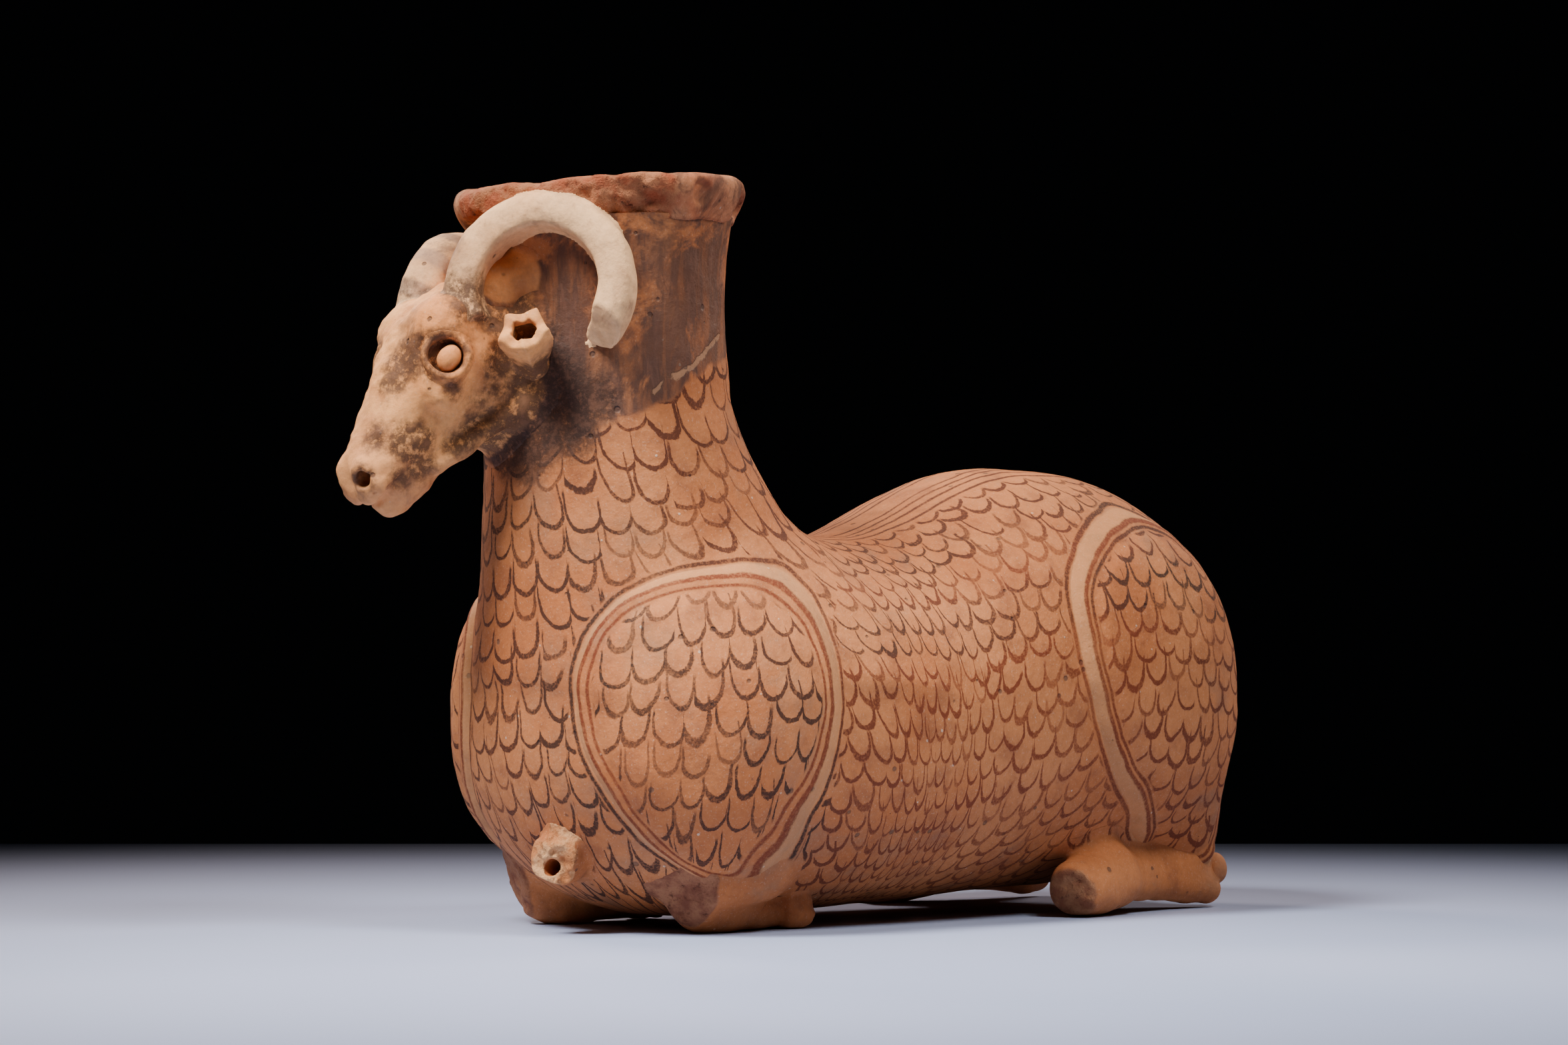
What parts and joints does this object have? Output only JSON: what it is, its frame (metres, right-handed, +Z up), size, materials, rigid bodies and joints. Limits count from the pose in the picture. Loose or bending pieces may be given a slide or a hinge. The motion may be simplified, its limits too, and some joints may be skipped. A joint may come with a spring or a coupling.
{
  "type": "askos vessel",
  "caption": "Hollow fired clay pouring vessel shaped as a lying ram, with a wide open neck over the chest, a turned head, rolled horns and folded legs.",
  "frame": {"origin": "middle of the footprint, on the surface that the ram lies on", "axes": "-Y is the way the ram faces, +X is its left side, +Z is up along the neck"},
  "size_m": [0.1516, 0.3438, 0.2422],
  "materials": {
    "salmon_clay": "matt salmon clay with painted scales and bands in dark brown and rust red slip",
    "buff_clay": "matt pale buff clay with soot stains, pits and mineral specks",
    "dark_slip": "dark brown burnished slip, scratched and worn to reddish clay in patches",
    "fractured_clay": "rough orange-red fracture faces and worn edges"
  },
  "bodies": {
    "root": {"chest_wall": "salmon_clay", "barrel_wall": "salmon_clay", "rump_wall": "salmon_clay", "collar": "salmon_clay", "neck": "dark_slip", "lip": "fractured_clay", "chest_spout": "fractured_clay", "head": "buff_clay", "poll_bridge": "buff_clay", "left_horn": "buff_clay", "right_horn": "buff_clay", "left_ear": "buff_clay", "right_ear": "buff_clay", "left_eyelid": "buff_clay", "right_eyelid": "buff_clay", "left_eye": "buff_clay", "right_eye": "buff_clay", "left_shoulder": "salmon_clay", "right_shoulder": "salmon_clay", "left_haunch": "salmon_clay", "right_haunch": "salmon_clay", "left_foreleg": "fractured_clay", "right_foreleg": "fractured_clay", "left_fore_shank": "salmon_clay", "right_fore_shank": "salmon_clay", "left_fore_hoof": "salmon_clay", "right_fore_hoof": "salmon_clay", "left_hind_knee": "fractured_clay", "right_hind_knee": "fractured_clay", "left_hind_shank": "salmon_clay", "right_hind_shank": "salmon_clay", "left_hock": "salmon_clay", "right_hock": "salmon_clay", "tail": "salmon_clay"}
  },
  "joints": []
}
